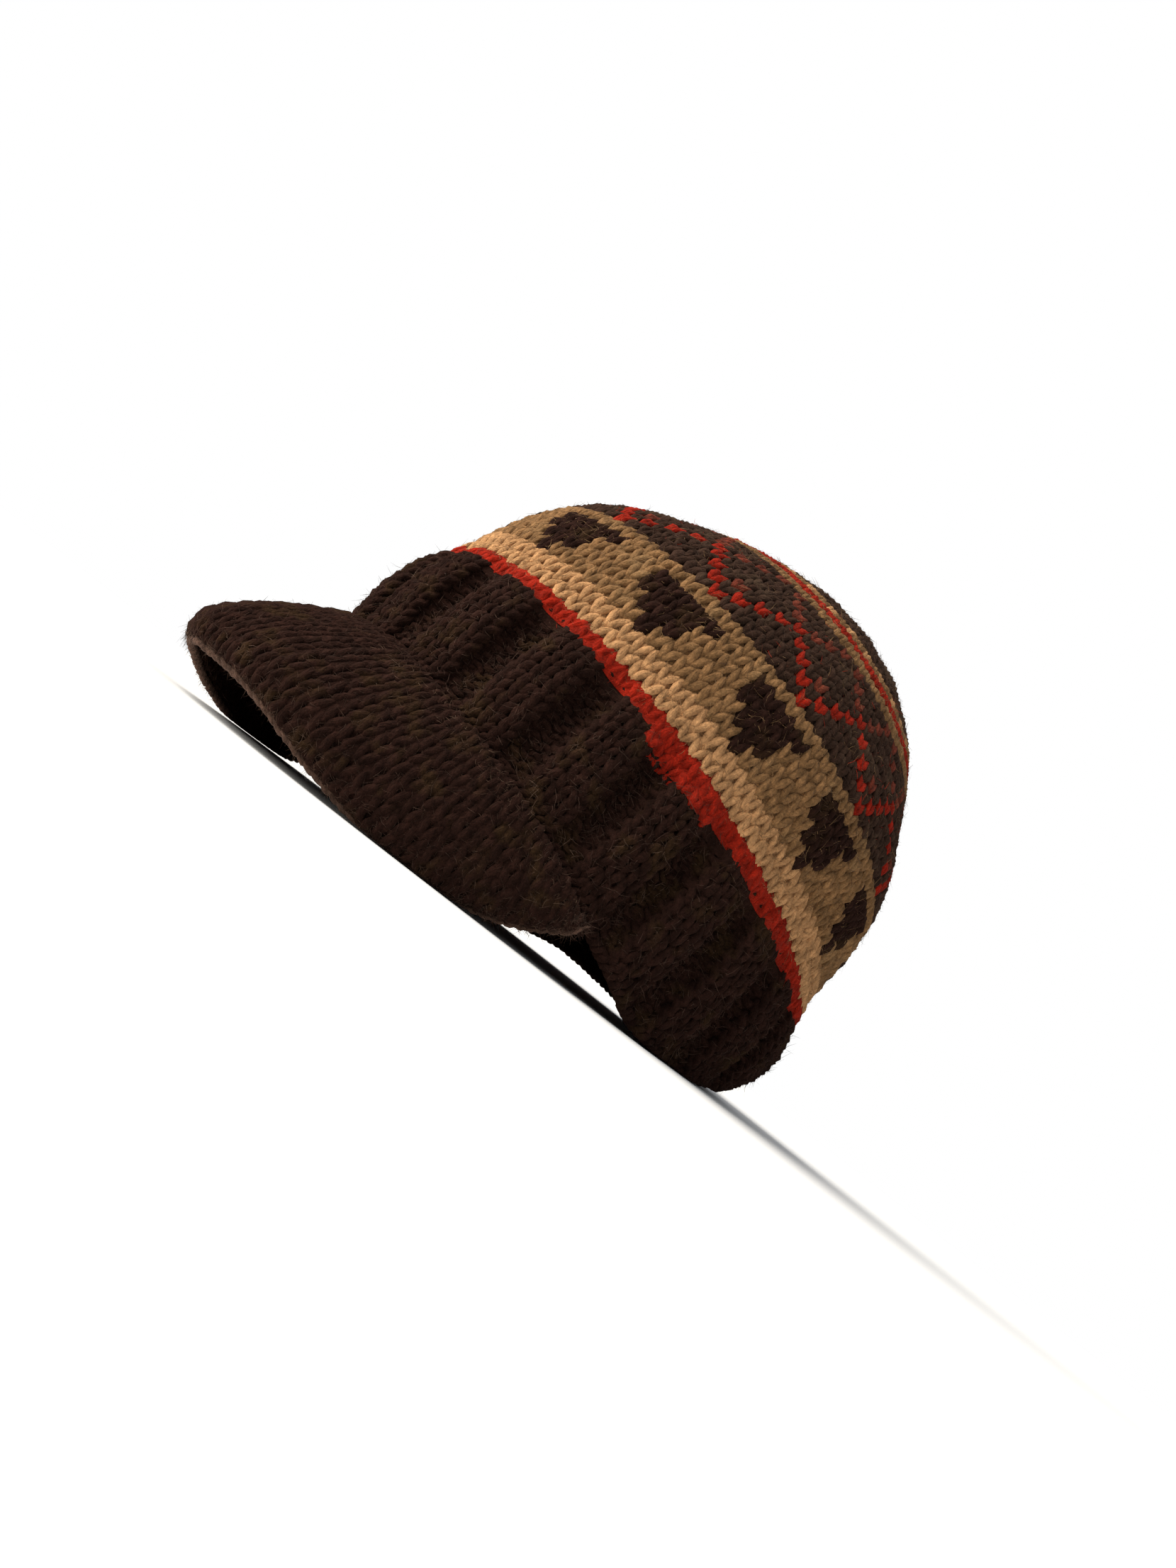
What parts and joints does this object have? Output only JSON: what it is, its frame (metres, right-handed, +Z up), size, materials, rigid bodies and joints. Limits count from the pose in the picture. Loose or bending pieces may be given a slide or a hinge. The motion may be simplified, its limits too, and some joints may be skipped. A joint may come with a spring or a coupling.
{
  "type": "knitted baker boy cap",
  "caption": "Hand-knitted bulky wool cap with a ribbed band, a patterned crown and a curved, drooping knitted peak; it keeps its form and stands on its peak and band.",
  "frame": {"origin": "centre of the bounding box's base, on the table the cap stands on", "axes": "-Y to the front, where the peak is; +Y to the nape; +Z up; +X to the wearer's left"},
  "size_m": [0.1734, 0.2527, 0.1598],
  "materials": {
    "brown_wool": "matte bulky wool, dark brown",
    "red_wool": "matte bulky wool, brick red",
    "cream_wool": "matte bulky wool, warm cream",
    "khaki_wool": "matte bulky wool, khaki"
  },
  "bodies": {
    "root": {"rib_band": "brown_wool", "red_stripe": "red_wool", "cream_stripe": "cream_wool", "khaki_band": "khaki_wool", "crown": "brown_wool", "peak": "brown_wool"}
  },
  "joints": []
}
